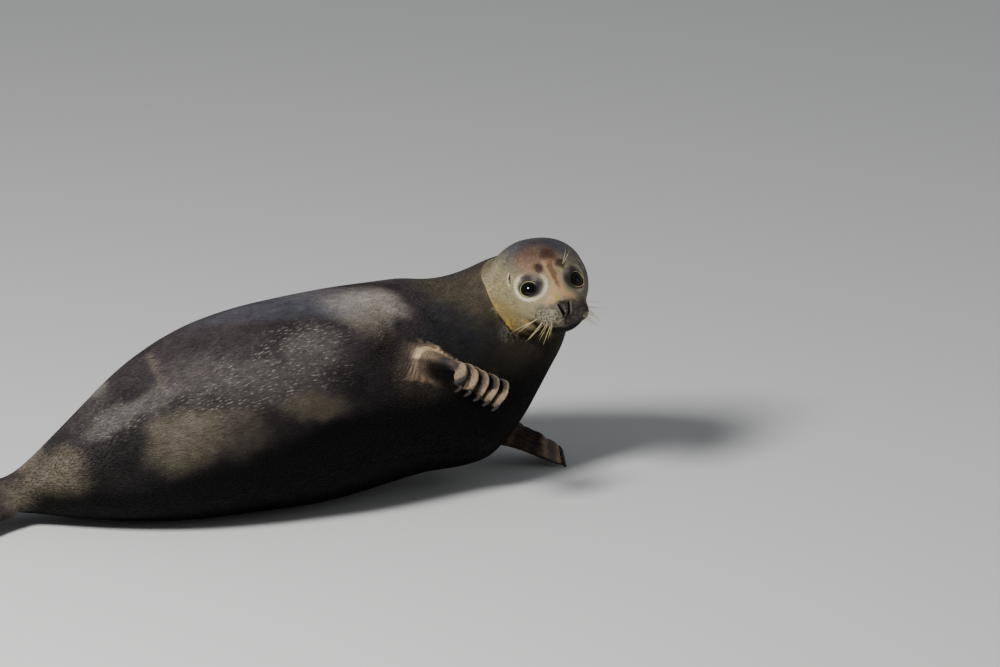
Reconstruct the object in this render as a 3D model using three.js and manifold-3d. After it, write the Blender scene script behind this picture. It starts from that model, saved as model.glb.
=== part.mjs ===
// A harbor seal hauled out on level ground, life size: it lies on its belly, rolled a little to its
// left, the chest raised, the right foreflipper lifted and the head turned to look over its right side.
// Millimetres, +Z up. The trunk points along +X and the face looks towards -Y.
import * as THREE from "three";
import { mergeVertices } from "three/addons/utils/BufferGeometryUtils.js";
import Module from "manifold-3d";

const wasm = await Module();
wasm.setup();

// ---- Driving dimensions ----
const GAP = 0.4; // clearance between neighbouring pieces
const AROUND_BODY = 30;
const AROUND_HEAD = 24;
const EYE_RADIUS = 20;
const FORE_LENGTH = 250; // foreflipper, from the skin to the tip of its first digit
const HIND_LENGTH = 225; // hind flipper, from the ankle to the tip of its outer digits
const CLAW_LENGTH = 22;
const HIND_CLAW_LENGTH = 15;

// Cross-sections of the body from the ankles to the top of the neck. at is the centre, turn the
// heading from +X (negative to the animal's right), pitch the rise, roll how far the right side is
// lifted; wide, top and under are half-sizes.
const bodySections = [
  { at: [-10, 6, 46], turn: -8, pitch: 16, roll: 8, wide: 50, top: 20, under: 20 }, // ankles
  { at: [50, 0, 55], turn: -14, pitch: 23, roll: 10, wide: 62, top: 43, under: 42 }, // rump
  { at: [108, -20, 75], turn: -18, pitch: 25, roll: 14, wide: 91, top: 71, under: 75 },
  { at: [176, -46, 107], turn: -16, pitch: 21, roll: 18, wide: 126, top: 105, under: 112 }, // hips
  { at: [258, -70, 142], turn: -9, pitch: 15, roll: 22, wide: 158, top: 146, under: 149 }, // loins
  { at: [357, -82, 171], turn: -3, pitch: 9, roll: 25, wide: 181, top: 174, under: 175 },
  { at: [456, -82, 184], turn: 0, pitch: 6, roll: 28, wide: 192, top: 186, under: 187 }, // belly
  { at: [556, -80, 189], turn: 2, pitch: 3, roll: 31, wide: 197, top: 191, under: 191 },
  { at: [659, -70, 194], turn: 3, pitch: 4, roll: 33, wide: 193, top: 189, under: 186 }, // ribs
  { at: [760, -62, 201], turn: 0, pitch: 9, roll: 35, wide: 181, top: 182, under: 179 },
  { at: [842, -62, 212], turn: -8, pitch: 20, roll: 34, wide: 164, top: 178, under: 192 }, // shoulders
  { at: [897, -78, 246], turn: -25, pitch: 36, roll: 28, wide: 150, top: 149, under: 161 },
  { at: [938, -106, 294], turn: -47, pitch: 44, roll: 18, wide: 127, top: 120, under: 126 }, // neck
  { at: [964, -134, 342], turn: -70, pitch: 38, roll: 8, wide: 110, top: 94, under: 116 },
  { at: [978, -162, 372], turn: -84, pitch: 18, roll: 0, wide: 86, top: 68, under: 84 }, // nape
];
const HIPS_END = 4.2; // where the pieces part, counted in sections
const BELLY_END = 7.4;
const CHEST_END = 10.6;

// The head's own frame: x forward from between the ears, y to its left, z up.
const headPose = { at: [981, -190, 392], turn: -92, pitch: -11, roll: -5.5 };
const headSections = [
  { at: [-84, 0, -8], wide: 70, top: 58, under: 58 }, // back of the skull
  { at: [-50, 0, -8], wide: 91, top: 76, under: 80 },
  { at: [-18, 0, -10], wide: 92, top: 77, under: 82 },
  { at: [12, 0, -10], wide: 88, top: 74.5, under: 76 }, // ears and cheeks
  { at: [38, 0, -11], wide: 79, top: 68, under: 66 },
  { at: [58, 0, -12], wide: 67, top: 57, under: 57 }, // eyes
  { at: [76, 0, -14], wide: 59, top: 46, under: 50 },
  { at: [94, 0, -15], wide: 53, top: 35, under: 44 }, // muzzle
  { at: [110, 0, -14], wide: 50, top: 28, under: 38 },
  { at: [122, 0, -12], wide: 47, top: 25, under: 34 },
  { at: [132, 0, -10], wide: 42, top: 22, under: 30 }, // nose
];
const EYE_AT = [53, 39.3, 14];
const MOUTH = { height: -23, corner: 66, slope: 6 }; // the jaw is cut free below and ahead of these

// Half-width and half-thickness of a blade from root to tips, in equal steps. notch is how far the
// web draws back between digits, gap the share of the thickness lost there.
// slant is how much shorter the blade is at its trailing edge.
const cuppedBlade = {
  length: FORE_LENGTH,
  half: [50, 46, 45, 50, 54, 48, 36],
  thick: [38, 37, 27, 17, 13, 10.5, 9],
  notch: 12,
  gap: 0.62,
  slant: 0.28,
};
const flatBlade = {
  length: FORE_LENGTH,
  half: [50, 44, 43, 48, 49, 46, 41],
  thick: [33, 29, 21, 16, 13, 10.5, 9],
  notch: 12,
  gap: 0.62,
  slant: 0.03,
};
const hindBlade = {
  length: HIND_LENGTH,
  half: [26, 31, 43, 55, 64, 70, 72],
  thick: [22, 17, 13, 10, 8, 7, 6],
  notch: 26,
  gap: 0.5,
  slant: 0,
};
const RIM = 2.2; // half-thickness at a blade's rim
const DIGITS = 5;
const WEB_STARTS = [0.42, 0.66]; // share of the length over which the digits part

// Where each flipper leaves the body and how it lies. The blade's own frame: x to the digits' tips,
// y to its leading edge, z to the back of the hand.
const flippers = [
  {
    name: "flipper_fore_right",
    fore: true,
    lead: 1, // the side of its leading edge
    pose: { at: [721, -172, 266], turn: -58, pitch: 1, roll: 32 },
    blade: cuppedBlade,
    curl: 98, // how far the hand bends down beyond the knuckle
    knuckle: 0.74,
  },
  {
    name: "flipper_fore_left",
    fore: true,
    lead: -1,
    pose: { at: [868, 20, 92], turn: -22, pitch: -15.5, roll: -5 },
    blade: flatBlade,
    curl: 12,
    knuckle: 0.5,
  },
  {
    name: "flipper_hind_right",
    fore: false,
    lead: 1,
    blade: hindBlade,
    pose: { at: [14, -27, 48], turn: -165, pitch: 1, roll: 32 },
    curl: 8,
    knuckle: 0.3,
  },
  {
    name: "flipper_hind_left",
    fore: false,
    lead: -1,
    blade: hindBlade,
    pose: { at: [16, 24, 48], turn: 163, pitch: 1, roll: -32 },
    curl: 8,
    knuckle: 0.3,
  },
];
const tailPose = { at: [0, -6, 74], turn: 178, pitch: -4 };

// ---- Shapes ----
const rad = THREE.MathUtils.degToRad;

// Smooth curve through values at equal steps, at place t from 0 to 1.
function through(values, t) {
  const place = Math.min(Math.max(t, 0), 1) * (values.length - 1);
  const i = Math.min(Math.floor(place), values.length - 2);
  const f = place - i;
  const slope = (k) => (values[Math.min(k + 1, values.length - 1)] - values[Math.max(k - 1, 0)]) / 2;
  const [a, b, da, db] = [values[i], values[i + 1], slope(i), slope(i + 1)];
  return a + da * f + (3 * (b - a) - 2 * da - db) * f ** 2 + (2 * (a - b) + da + db) * f ** 3;
}

// The frame of a pose: its x points along turn and pitch, its y to the left.
function frameOf({ at = [0, 0, 0], turn = 0, pitch = 0, roll = 0 }) {
  const heading = new THREE.Matrix4().makeRotationZ(rad(turn));
  const rise = new THREE.Matrix4().makeRotationY(rad(-pitch));
  const lean = new THREE.Matrix4().makeRotationX(rad(-roll));
  return heading.multiply(rise).multiply(lean).setPosition(...at);
}

function solidOf(geometry) {
  const bare = new THREE.BufferGeometry().setAttribute("position", geometry.getAttribute("position"));
  const merged = mergeVertices(bare.setIndex(geometry.index), 1e-3);
  return new wasm.Manifold(
    new wasm.Mesh({
      numProp: 3,
      vertProperties: new Float32Array(merged.attributes.position.array),
      triVerts: new Uint32Array(merged.index.array),
    }),
  );
}

function geometryOf(solid) {
  const mesh = solid.getMesh();
  const geometry = new THREE.BufferGeometry();
  geometry.setAttribute("position", new THREE.BufferAttribute(mesh.vertProperties, 3));
  geometry.setIndex(new THREE.BufferAttribute(mesh.triVerts, 1));
  geometry.computeVertexNormals();
  return geometry;
}

// A closed round body through its sections. rings are places from 0 to 1 along them, round gives
// the share of the sections' size there, so that the ends close in a dome.
function loft(sections, around, rings, round, grow = 0) {
  const geometry = new THREE.SphereGeometry(1, around, rings.length - 1);
  const position = geometry.getAttribute("position");
  const column = (pick) => sections.map(pick);
  const read = (pick, t) => through(column(pick), t);
  for (let row = 0, k = 0; row < rings.length; row++) {
    const t = rings[row];
    const frame = frameOf({
      at: [0, 1, 2].map((axis) => read((s) => s.at[axis], t)),
      turn: read((s) => s.turn ?? 0, t),
      pitch: read((s) => s.pitch ?? 0, t),
      roll: read((s) => s.roll ?? 0, t),
    });
    const pole = row === 0 || row === rings.length - 1;
    const size = pole ? 0 : round(t);
    const halfSize = (key) => (read((s) => s[key], t) + grow) * size;
    const [wide, top, under] = [halfSize("wide"), halfSize("top"), halfSize("under")];
    for (let col = 0; col <= around; col++, k++) {
      const angle = (2 * Math.PI * (col % around)) / around;
      const height = Math.sin(angle) > 0 ? top : under;
      const point = new THREE.Vector3(0, -wide * Math.cos(angle), height * Math.sin(angle));
      position.setXYZ(k, ...point.applyMatrix4(frame));
    }
  }
  return solidOf(geometry);
}

// Ring places with both ends crowded, and the dome that closes each end over a share of the length.
function ringPlaces(count, startCap, endCap, capRings) {
  const crowded = (i) => 1 - Math.cos((Math.PI / 2) * (i / capRings));
  const places = [];
  for (let i = 0; i <= capRings; i++) places.push(startCap * crowded(i));
  for (let i = 1; i < count; i++) places.push(startCap + ((1 - startCap - endCap) * i) / count);
  for (let i = capRings; i >= 0; i--) places.push(1 - endCap * crowded(i));
  return places;
}

const dome = (startCap, endCap) => (t) => {
  const near = t < startCap ? 1 - t / startCap : t > 1 - endCap ? 1 - (1 - t) / endCap : 0;
  return Math.sqrt(Math.max(0, 1 - near ** 2));
};

// A blade: a plate from a box, its outline, thickness, ridged digits and curl given by functions
// of u, from root to tip, and v, from trailing to leading edge.
function bladePoint(spec, u, v, side, grow = 0) {
  const { smoothstep, clamp } = THREE.MathUtils;
  const blade = spec.blade;
  const digit = ((v + 1) / 2) * DIGITS;
  const ridge = 0.5 - 0.5 * Math.cos(2 * Math.PI * digit);
  const fingers = smoothstep(u, ...WEB_STARTS);
  const reach = spec.fore ? 1 - (blade.slant / 2) * (1 - v) : 1 - 0.16 * (1 - v ** 2);
  const span = blade.length * reach - blade.notch * (1 - ridge) * fingers;
  let x = 0;
  let z = 0;
  const steps = 24;
  const bend = (at) => rad(spec.curl) * smoothstep(at, spec.knuckle, 0.45 + 0.6 * spec.knuckle);
  for (let i = 0; i < steps; i++) {
    const at = (u * (i + 0.5)) / steps;
    x += (Math.cos(bend(at)) * u) / steps;
    z -= (Math.sin(bend(at)) * u) / steps;
  }
  const edge = Math.sqrt(Math.max(0, 1 - Math.abs(v) ** 3));
  const tip = Math.sqrt(Math.max(0, 1 - clamp((u - 0.86) / 0.14, 0, 1) ** 2));
  const valley = 1 - blade.gap * fingers * (1 - ridge);
  const half = grow + RIM + Math.max(0, through(blade.thick, u) - RIM) * edge * tip * valley;
  const lean = bend(u);
  const width = through(blade.half, u) + grow;
  const point = new THREE.Vector3(x * (span + 2 * grow) - grow, width * v, z * span);
  point.add(new THREE.Vector3(Math.sin(lean), 0, Math.cos(lean)).multiplyScalar(side * half));
  point.y *= spec.lead;
  return point;
}

function bladeSolid(spec, grow = 0) {
  const geometry = new THREE.BoxGeometry(2, 2, 2, 9, 2 * DIGITS, 1);
  const position = geometry.getAttribute("position");
  for (let k = 0; k < position.count; k++) {
    const [x, y, z] = [position.getX(k), position.getY(k), position.getZ(k)];
    position.setXYZ(k, ...bladePoint(spec, (x + 1) / 2, y, z, grow));
  }
  if (spec.lead < 0) geometry.index.array.reverse();
  return solidOf(geometry.applyMatrix4(frameOf(spec.pose)));
}

// A claw: a horn that tapers and hooks down from the back of a digit's tip.
function clawSolid(spec, digit, grow = 0) {
  const v = ((digit - 0.5) / DIGITS) * 2 - 1;
  const length = spec.fore ? CLAW_LENGTH : HIND_CLAW_LENGTH;
  const inside = (0.5 * length) / spec.blade.length;
  const root = bladePoint(spec, 1 - inside, v, 0.5);
  const ahead = bladePoint(spec, 1, v, 0.5).sub(root);
  const slant = THREE.MathUtils.radToDeg(Math.atan2(ahead.z, ahead.x));
  const radius = spec.fore ? 4.2 : 3;
  const [around, rows] = [6, 5];
  const geometry = new THREE.SphereGeometry(1, around, rows);
  const position = geometry.getAttribute("position");
  for (let row = 0, k = 0; row <= rows; row++) {
    const t = row / rows;
    const thick = row === 0 || row === rows ? 0 : radius * (1.05 - 0.8 * t) + grow;
    const hook = rad(-spec.curl * 0.1 - 34 * t);
    const frame = new THREE.Matrix4().makeRotationY(-hook);
    const along = (length + 2 * grow) * t - grow;
    const middle = new THREE.Vector3(along * Math.cos(hook / 2), 0, along * Math.sin(hook / 2));
    for (let col = 0; col <= around; col++, k++) {
      const angle = (2 * Math.PI * (col % around)) / around;
      const point = new THREE.Vector3(0, -thick * Math.cos(angle), thick * 1.15 * Math.sin(angle));
      position.setXYZ(k, ...point.applyMatrix4(frame).add(middle));
    }
  }
  const place = frameOf(spec.pose).multiply(frameOf({ at: root.toArray(), pitch: slant }));
  return solidOf(geometry.applyMatrix4(place));
}

function eyeSolid(side, grow = 0) {
  const geometry = new THREE.SphereGeometry(EYE_RADIUS + grow, 12, 8);
  geometry.translate(EYE_AT[0], EYE_AT[1] * side, EYE_AT[2]);
  return solidOf(geometry.applyMatrix4(frameOf(headPose)));
}

function tailSolid(grow = 0) {
  const sections = [
    { at: [-60, 0, 0], wide: 34, top: 20, under: 20 },
    { at: [0, 0, 0], wide: 30, top: 17, under: 17 },
    { at: [35, 0, 0], wide: 24, top: 12, under: 11 },
    { at: [68, 0, -1], wide: 17, top: 8, under: 7 },
  ];
  const rings = ringPlaces(5, 0.15, 0.2, 2);
  return loft(sections, 10, rings, dome(0.15, 0.2), grow).transform(frameOf(tailPose).elements);
}

// ---- Cutting into pieces ----
const GROUND = [0, 0, 1];
const flatten = (solid) => solid.trimByPlane(GROUND, 0);

// Both sides of a section plane of the body, with the clearance between them.
function partAt(solid, place) {
  const read = (pick) => through(bodySections.map(pick), place / (bodySections.length - 1));
  const pose = {
    at: [0, 1, 2].map((axis) => read((s) => s.at[axis])),
    turn: read((s) => s.turn),
    pitch: read((s) => s.pitch),
  };
  const normal = new THREE.Vector3(1, 0, 0).transformDirection(frameOf(pose));
  const offset = normal.dot(new THREE.Vector3(...pose.at));
  const behind = solid.trimByPlane(normal.clone().negate().toArray(), -(offset - GAP / 2));
  const ahead = solid.trimByPlane(normal.toArray(), offset + GAP / 2);
  return [behind, ahead];
}

const largest = (solid) => solid.decompose().sort((a, b) => b.volume() - a.volume())[0];

const bodyRings = ringPlaces(24, 0.03, 0.05, 3);
const wholeBody = flatten(loft(bodySections, AROUND_BODY, bodyRings, dome(0.03, 0.05)));
const headRings = ringPlaces(12, 0.14, 0.14, 4);
const makeHead = (grow) =>
  loft(headSections, AROUND_HEAD, headRings, dome(0.14, 0.14), grow).transform(frameOf(headPose).elements);

const eyes = { eye_right: eyeSolid(-1), eye_left: eyeSolid(1) };
const skull = makeHead(0).subtract(eyeSolid(-1, GAP)).subtract(eyeSolid(1, GAP));

// The mouth's cut slopes down towards the chin and ends behind the corner of the lips.
function jawBlock(clearance) {
  const block = new THREE.BoxGeometry(200, 200, 200).translate(100 + clearance, 0, -100 - clearance);
  block.applyMatrix4(frameOf({ at: [MOUTH.corner, 0, MOUTH.height], pitch: -MOUTH.slope }));
  return solidOf(block.applyMatrix4(frameOf(headPose)));
}
const jaw = largest(skull.intersect(jawBlock(GAP)));
const head = largest(skull.subtract(jawBlock(0)));

const blades = Object.fromEntries(flippers.map((spec) => [spec.name, flatten(bladeSolid(spec))]));
const claws = {};
for (const spec of flippers) {
  for (let digit = 1; digit <= DIGITS; digit++) {
    const name = spec.name.replace("flipper", "claw") + "_" + (DIGITS + 1 - digit);
    claws[name] = flatten(clawSolid(spec, digit));
    blades[spec.name] = blades[spec.name].subtract(clawSolid(spec, digit, GAP));
  }
  blades[spec.name] = largest(blades[spec.name]);
}

const bodyBare = wholeBody.subtract(makeHead(GAP));
const [hipsPart, restA] = partAt(bodyBare, HIPS_END);
const [bellyPart, restB] = partAt(restA, BELLY_END);
const [chestPart, neckPart] = partAt(restB, CHEST_END);

// Flesh that a flipper or the tail grows out of is cut away round it, with the clearance.
const limbs = wasm.Manifold.union([...flippers.map((spec) => bladeSolid(spec, GAP)), tailSolid(GAP)]);
const clearOf = (solid, other) => largest(solid.subtract(other));

const hindBlades = flippers.filter((spec) => !spec.fore).map((spec) => bladeSolid(spec, GAP));

const pieces = {
  head,
  lower_jaw: jaw,
  neck: clearOf(neckPart, limbs),
  chest: clearOf(chestPart, limbs),
  belly: clearOf(bellyPart, limbs),
  hips: clearOf(hipsPart, limbs),
  tail: clearOf(tailSolid(), wasm.Manifold.union(hindBlades)),
  ...blades,
  ...claws,
  ...eyes,
};

// ---- Scene ----
const coat = (color) => new THREE.MeshStandardMaterial({ color, roughness: 0.55, metalness: 0 });
const finishes = {
  eye: new THREE.MeshStandardMaterial({ color: 0x0b0908, roughness: 0.05, metalness: 0 }),
  claw: new THREE.MeshStandardMaterial({ color: 0x1d1815, roughness: 0.35, metalness: 0 }),
  head: coat(0x7d7259),
  lower: coat(0x5e5648),
  flipper: coat(0x4a4038),
};
const finishOf = (name) =>
  finishes[name.split("_")[0]] ?? (name === "lower_jaw" ? finishes.lower : coat(0x3a3532));

const seal = new THREE.Group();
for (const [name, solid] of Object.entries(pieces)) {
  const mesh = new THREE.Mesh(geometryOf(solid), finishOf(name));
  mesh.name = name;
  seal.add(mesh);
}

// The origin is on the ground under the middle of the whole figure.
const bounds = new THREE.Box3().setFromObject(seal);
const centre = bounds.getCenter(new THREE.Vector3());
for (const mesh of seal.children) mesh.position.set(-centre.x, -centre.y, -bounds.min.z);

export default seal;
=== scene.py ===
"""A life-size harbor seal, still, hauled out on its belly with its head turned and one foreflipper lifted.

Metres, +Z up, the trunk along +X and the face towards -Y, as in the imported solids.
"""

from math import cos, pi, radians, sin

import bmesh
import bpy
import numpy as np
from mathutils import Matrix, Vector
from mathutils.bvhtree import BVHTree


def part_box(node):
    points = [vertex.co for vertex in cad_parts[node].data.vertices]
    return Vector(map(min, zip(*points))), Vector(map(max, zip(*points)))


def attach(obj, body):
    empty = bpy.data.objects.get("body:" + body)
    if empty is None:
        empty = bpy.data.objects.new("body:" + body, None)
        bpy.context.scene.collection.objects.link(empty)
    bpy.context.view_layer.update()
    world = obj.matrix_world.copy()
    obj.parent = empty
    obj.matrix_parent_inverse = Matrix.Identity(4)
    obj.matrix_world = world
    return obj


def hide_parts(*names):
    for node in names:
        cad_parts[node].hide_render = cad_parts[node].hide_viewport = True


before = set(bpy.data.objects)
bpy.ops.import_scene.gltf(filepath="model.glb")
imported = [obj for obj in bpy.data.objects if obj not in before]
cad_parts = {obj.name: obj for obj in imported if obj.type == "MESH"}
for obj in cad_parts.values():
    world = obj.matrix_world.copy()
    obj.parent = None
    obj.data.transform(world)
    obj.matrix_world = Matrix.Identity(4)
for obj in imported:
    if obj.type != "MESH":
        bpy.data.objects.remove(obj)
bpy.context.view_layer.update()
bpy.ops.object.select_all(action="DESELECT")

# ---- The trunk and head under the coat ----
# A seal's body is one smooth spindle of blubber, with a short neck that the head sinks into. Its form is
# taken from the solids of flesh: welded, melted into one another and smoothed, the head more finely.
MM = 0.001
TRUNK_NODES = ["neck", "chest", "belly", "hips", "tail"]
HEAD_NODES = ["head", "lower_jaw", "eye_right", "eye_left"]
FLIPPER_NODES = ["flipper_fore_right", "flipper_fore_left", "flipper_hind_right", "flipper_hind_left"]
OVERLAP = 0.5 * MM  # more than half the clearance between the solids
PLUG = -4 * MM  # how far the solids that fill the trunk's sockets are drawn in
TRUNK_GRAIN, HEAD_GRAIN = 8 * MM, 4 * MM  # how finely the forms are melted together

# The head hangs between its two eyes. Its own frame has x forward from between the ears, y to its left
# and z up, and every place on the head is given there, in millimetres.
HEAD_POSE = (-92, -11, -5.5)  # turn, pitch and roll in degrees
BETWEEN_EYES = Vector((53, 0, 14)) * MM
JOWL = dict(at=(20, 27, -44), size=(54, 44, 43))  # a cheek's middle and half-sizes


def axes(turn, pitch, roll):
    """A pose's turn about Z, then its rise, then its lean about its own length."""
    heading = Matrix.Rotation(radians(turn), 4, "Z")
    rise = Matrix.Rotation(radians(-pitch), 4, "Y")
    return heading @ rise @ Matrix.Rotation(radians(-roll), 4, "X")


def centre_of(node):
    low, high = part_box(node)
    return (low + high) / 2


eye_centre = {"right": centre_of("eye_right"), "left": centre_of("eye_left")}
head_turned = axes(*HEAD_POSE)
head_at = (eye_centre["right"] + eye_centre["left"]) / 2 - head_turned @ BETWEEN_EYES
head_place = Matrix.Translation(head_at) @ head_turned


def linked(name, mesh):
    piece = bpy.data.objects.new(name, mesh)
    bpy.context.scene.collection.objects.link(piece)
    return piece


def welded(nodes, name, swell):
    """One object of some CAD nodes, each welded and pushed out along its normals."""
    whole = bmesh.new()
    for node in nodes:
        part = bmesh.new()
        part.from_mesh(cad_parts[node].data)
        bmesh.ops.remove_doubles(part, verts=part.verts, dist=0.01 * MM)
        part.normal_update()
        for vert in part.verts:
            vert.co += vert.normal * swell
        mesh = bpy.data.meshes.new(node)
        part.to_mesh(mesh)
        whole.from_mesh(mesh)
        part.free()
        bpy.data.meshes.remove(mesh)
    mesh = bpy.data.meshes.new(name)
    whole.to_mesh(mesh)
    whole.free()
    return linked(name, mesh)


def alone(piece):
    bpy.ops.object.select_all(action="DESELECT")
    piece.select_set(True)
    bpy.context.view_layer.objects.active = piece


def applied(piece, kind, **settings):
    """Adds a modifier with its settings and applies it."""
    alone(piece)
    modifier = piece.modifiers.new(kind.title(), kind)
    for key, value in settings.items():
        setattr(modifier, key, value)
    bpy.ops.object.modifier_apply(modifier=modifier.name)


def joined(pieces, name):
    alone(pieces[0])
    for piece in pieces[1:]:
        piece.select_set(True)
    bpy.ops.object.join()
    pieces[0].name = name
    return pieces[0]


def ball(name, place, size):
    """A ball stretched to half-sizes along the axes of a place, its mesh left in the shared frame."""
    bpy.ops.mesh.primitive_uv_sphere_add(segments=48, ring_count=24, radius=1)
    piece = bpy.context.active_object
    piece.name = name
    piece.data.transform(place @ Matrix.Diagonal((*size, 1)))
    return piece


plugs = welded(FLIPPER_NODES + HEAD_NODES, "plugs", PLUG)
trunk = joined([welded(TRUNK_NODES, "trunk", OVERLAP), plugs], "trunk")
applied(trunk, "REMESH", mode="VOXEL", voxel_size=TRUNK_GRAIN)
applied(trunk, "SMOOTH", factor=0.5, iterations=40)
jowls = []
for side in (-1, 1):
    x, y, z = JOWL["at"]
    place = head_place @ Matrix.Translation(Vector((x, side * y, z)) * MM)
    jowls.append(ball("jowl", place, Vector(JOWL["size"]) * MM))
head = joined([welded(HEAD_NODES, "head_form", OVERLAP), *jowls], "head_form")
applied(head, "REMESH", mode="VOXEL", voxel_size=HEAD_GRAIN)
applied(head, "SMOOTH", factor=0.5, iterations=14)

# ---- The flippers' forms ----
# Each flipper is a hand or foot of five digits in one web. A blade is lofted from its root to the tips,
# with rounded digits, drawn-in webs and knuckles. Its place is given from the head's, in millimetres.
RIM = 3.2 * MM  # half-thickness at a blade's rim
DIGITS = 5
CUPPED = dict(
    length=250,
    half=[50, 46, 45, 50, 54, 48, 36],
    thick=[38, 37, 27, 17, 13, 10.5, 9],
    notch=12,
    gap=0.7,
    reach=lambda v: 1 - 0.14 * (1 - v),
)
FLAT = dict(
    length=250,
    half=[50, 44, 43, 48, 49, 46, 41],
    thick=[33, 29, 21, 16, 13, 10.5, 9],
    notch=12,
    gap=0.62,
    reach=lambda v: 1 - 0.015 * (1 - v),
)
HIND = dict(
    length=225,
    half=[26, 31, 43, 55, 64, 70, 72],
    thick=[22, 17, 13, 10, 8, 7, 6],
    notch=26,
    gap=0.5,
    reach=lambda v: 1 - 0.16 * (1 - v**2),
)
FLIPPERS = {
    "fore_right": dict(blade=CUPPED, at=(-260, 18, -126), pose=(-58, 1, 32), lead=1, curl=98, knuckle=0.74),
    "fore_left": dict(blade=FLAT, at=(-113, 210, -300), pose=(-22, -15.5, -5), lead=-1, curl=12, knuckle=0.5),
    "hind_right": dict(blade=HIND, at=(-967, 163, -344), pose=(-165, 1, 32), lead=1, curl=8, knuckle=0.3),
    "hind_left": dict(blade=HIND, at=(-965, 214, -344), pose=(163, 1, -32), lead=-1, curl=8, knuckle=0.3),
}


def through(values, t):
    """Smooth curve through values at equal steps, at places t from 0 to 1."""
    values = np.asarray(values, float)
    place = np.clip(t, 0, 1) * (len(values) - 1)
    i = np.minimum(place.astype(int), len(values) - 2)
    f = place - i
    slope = np.gradient(np.concatenate([values[:1], values, values[-1:]]))[1:-1]
    a, b, da, db = values[i], values[i + 1], slope[i], slope[i + 1]
    return a + da * f + (3 * (b - a) - 2 * da - db) * f**2 + (2 * (a - b) + da + db) * f**3


def step(x, low, high):
    """0 at low, 1 at high, smooth between. low may be the larger."""
    t = np.clip((x - low) / (high - low), 0, 1)
    return t * t * (3 - 2 * t)


def ridge_of(v):
    """1 along the middle of each digit and 0 along the webs, at places v across a blade."""
    return 0.5 - 0.5 * np.cos(pi * (np.clip(v, -1, 1) + 1) * DIGITS)


def place_of(spec):
    at = head_at + Vector(spec["at"]) * MM
    return Matrix.Translation(at) @ axes(*spec["pose"])


def middle_line(spec, u):
    """A blade's middle line: how far along and down it has run, as shares of its length, and its bend."""
    steps = np.linspace(0, 1, 400)
    bend = radians(spec["curl"]) * step(steps, spec["knuckle"], 0.45 + 0.6 * spec["knuckle"])
    along = np.interp(u, steps, np.cumsum(np.cos(bend)) / len(steps))
    down = np.interp(u, steps, np.cumsum(np.sin(bend)) / len(steps))
    return along, down, np.interp(u, steps, bend)


def blade_points(spec, u, v, side):
    """Points of a blade: u from root to tip, v from trailing to leading edge, side 1 on the back."""
    blade = spec["blade"]
    ridge = ridge_of(v)
    fingers = step(u, 0.42, 0.66)
    span = (blade["length"] * blade["reach"](v) - blade["notch"] * (1 - ridge) * fingers) * MM
    along, down, lean = middle_line(spec, u)
    width = through(blade["half"], u) * MM
    edge = np.sqrt(np.clip(1 - np.abs(v) ** 3, 0, 1))
    tip = np.sqrt(1 - np.clip((u - 0.86) / 0.14, 0, 1) ** 2)
    valley = 1 - blade["gap"] * fingers * (1 - ridge**0.6)
    thick = RIM + np.maximum(0, through(blade["thick"], u) * MM - RIM) * edge * tip * valley
    rim = np.clip((np.abs(v) - 1) * width / (1.5 * RIM) + 1, 0, 1)
    end = np.clip((u - 1) * span / (1.5 * RIM) + 1, 0, 1)
    half = side * thick * np.sqrt((1 - rim**2) * (1 - end**2))
    across = width * v * spec["lead"]
    return np.stack([along * span + np.sin(lean) * half, across, -down * span + np.cos(lean) * half], -1)


def blade_form(name, spec, rows=110, around=120):
    """A closed blade: rings of points from the root to the tips."""
    u = np.linspace(0, 1, rows)[:, None]
    angle = (np.arange(around) * 2 * pi / around)[None, :]
    v = np.cos(angle) + 0 * u
    side = np.where(np.sin(angle) >= 0, 1, -1) + 0 * u
    points = blade_points(spec, u + 0 * v, v, side).reshape(-1, 3)
    column = np.arange(around)[None, :]
    row = np.arange(rows - 1)[:, None] * around
    after = (column + 1) % around
    quads = np.stack([row + column, row + after, row + after + around, row + column + around], -1)
    faces = quads.reshape(-1, 4).tolist() + [list(range(around))[::-1]]
    mesh = bpy.data.meshes.new(name)
    mesh.from_pydata(points.tolist(), [], faces)
    mesh.transform(place_of(spec))
    form = linked(name, mesh)
    alone(form)
    bpy.ops.object.mode_set(mode="EDIT")
    bpy.ops.mesh.select_all(action="SELECT")
    bpy.ops.mesh.remove_doubles(threshold=0.05 * MM)
    bpy.ops.mesh.normals_make_consistent(inside=False)
    bpy.ops.object.mode_set(mode="OBJECT")
    return form


blades = [blade_form(name, spec) for name, spec in FLIPPERS.items()]

# ---- The skin ----
# One skin over the whole animal, with no seam between its parts: the forms are melted together, and
# what a sculptor would model is then pushed into the surface.
SKIN_LIMIT = 190000  # triangles
SKIN_GRAIN = 2.2 * MM
LEVELS = 16  # steps of weight in a soft place
EYEBALL = 20  # mm, radius
# Half length and half height of each eye's opening, in millimetres, and the way each eye looks.
OPENING = {"right": (12.6, 9.6), "left": (13.6, 11.2)}
GAZE = {"right": Vector((0.585, -0.525, 0.618)), "left": Vector((0.63, 0.41, 0.655))}
MOUTH = dict(height=-25.5, corner=84, slope=0.1)  # its line at the corner, and how it falls forwards
# The fold behind the cheeks: height, how far forward it lies there, and how far out to each side.
NECK_FOLD = [
    (-128, 130, 50), (-112, 60, 52), (-98, 27, 56), (-84, 24, 62), (-71, 20, 70), (-57, 15, 79),
    (-43, 8, 86), (-28, -2, 92), (-16, -12, 97), (-3, -28, 98), (8, -58, 96), (14, -80, 96),
]
WRINKLE = 6.5  # mm between the sleeve's wrinkles
EAR = (23.5, 78, 28)  # the left one's middle
# From the head's middle plane to the nose's, from there to a nostril's slit, and how the slit leans.
NOSTRIL = (2, 6.4, 0.35)


def coordinates(mesh):
    flat = np.empty(len(mesh.vertices) * 3)
    mesh.vertices.foreach_get("co", flat)
    return flat.reshape(-1, 3)


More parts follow.
